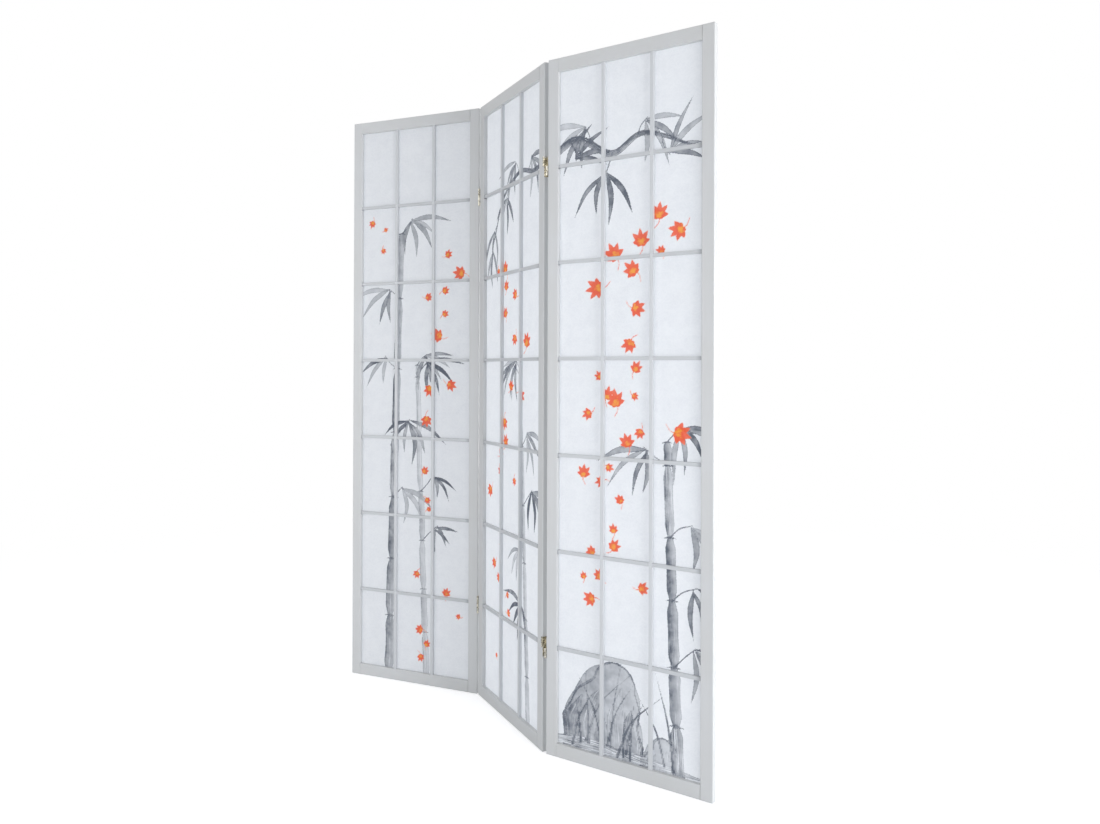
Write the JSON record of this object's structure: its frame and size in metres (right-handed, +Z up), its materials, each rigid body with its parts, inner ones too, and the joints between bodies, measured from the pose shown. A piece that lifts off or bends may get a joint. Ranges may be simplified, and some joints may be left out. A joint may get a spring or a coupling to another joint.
{
  "type": "folding screen",
  "caption": "Free-standing folding room screen: white lattice panels with translucent paper, joined by double-action hinges that fold either way.",
  "frame": {"origin": "on the floor, under the middle of the bounding box of the screen as it stands folded in a zigzag", "axes": "+Z up; front, the side with the lattice, towards -Y; the two free edges stand level along X"},
  "size_m": [1.279, 0.2168, 1.75],
  "materials": {
    "painted_frame": "white satin paint",
    "painted_lattice": "white satin paint",
    "shade_paper": "thin translucent fibre paper with a soft ink and orange-red print",
    "hinge_brass": "polished, a little darkened"
  },
  "bodies": {
    "middle_panel": {"middle_stile_left": "painted_frame", "middle_stile_right": "painted_frame", "middle_rail_top": "painted_frame", "middle_rail_bottom": "painted_frame", "middle_bar_vertical_1": "painted_lattice", "middle_bar_vertical_2": "painted_lattice", "middle_bar_level_1": "painted_lattice", "middle_bar_level_2": "painted_lattice", "middle_bar_level_3": "painted_lattice", "middle_bar_level_4": "painted_lattice", "middle_bar_level_5": "painted_lattice", "middle_bar_level_6": "painted_lattice", "middle_paper": "shade_paper", "left_hinge_upper_inner_leaf": "hinge_brass", "left_hinge_lower_inner_leaf": "hinge_brass", "right_hinge_upper_inner_leaf": "hinge_brass", "right_hinge_lower_inner_leaf": "hinge_brass", "left_hinge_upper_upper_strap": "hinge_brass", "left_hinge_lower_upper_strap": "hinge_brass", "right_hinge_upper_upper_strap": "hinge_brass", "right_hinge_lower_upper_strap": "hinge_brass"},
    "left_straps": {"left_hinge_upper_lower_strap": "hinge_brass", "left_hinge_lower_lower_strap": "hinge_brass"},
    "left_panel": {"left_stile_left": "painted_frame", "left_stile_right": "painted_frame", "left_rail_top": "painted_frame", "left_rail_bottom": "painted_frame", "left_bar_vertical_1": "painted_lattice", "left_bar_vertical_2": "painted_lattice", "left_bar_level_1": "painted_lattice", "left_bar_level_2": "painted_lattice", "left_bar_level_3": "painted_lattice", "left_bar_level_4": "painted_lattice", "left_bar_level_5": "painted_lattice", "left_bar_level_6": "painted_lattice", "left_paper": "shade_paper", "left_hinge_upper_outer_leaf": "hinge_brass", "left_hinge_lower_outer_leaf": "hinge_brass"},
    "right_straps": {"right_hinge_upper_lower_strap": "hinge_brass", "right_hinge_lower_lower_strap": "hinge_brass"},
    "right_panel": {"right_stile_left": "painted_frame", "right_stile_right": "painted_frame", "right_rail_top": "painted_frame", "right_rail_bottom": "painted_frame", "right_bar_vertical_1": "painted_lattice", "right_bar_vertical_2": "painted_lattice", "right_bar_level_1": "painted_lattice", "right_bar_level_2": "painted_lattice", "right_bar_level_3": "painted_lattice", "right_bar_level_4": "painted_lattice", "right_bar_level_5": "painted_lattice", "right_bar_level_6": "painted_lattice", "right_paper": "shade_paper", "right_hinge_upper_outer_leaf": "hinge_brass", "right_hinge_lower_outer_leaf": "hinge_brass"}
  },
  "joints": [
    {"name": "left_fold", "type": "hinge", "parent": "middle_panel", "child": "left_straps", "pos_m": [-0.21374, 0.08403, 0.875], "axis": [0, 0, 1], "range_deg": [-43.3, 136.7]},
    {"name": "left_reverse_fold", "type": "hinge", "parent": "left_straps", "child": "left_panel", "pos_m": [-0.22094, 0.10587, 0.875], "axis": [0, 0, 1], "range_deg": [-100, 0]},
    {"name": "right_fold", "type": "hinge", "parent": "middle_panel", "child": "right_straps", "pos_m": [0.19828, -0.08304, 0.875], "axis": [0, 0, 1], "range_deg": [-31.7, 148.3]},
    {"name": "right_reverse_fold", "type": "hinge", "parent": "right_straps", "child": "right_panel", "pos_m": [0.20095, -0.10588, 0.875], "axis": [0, 0, 1], "range_deg": [-100, 0]}
  ]
}
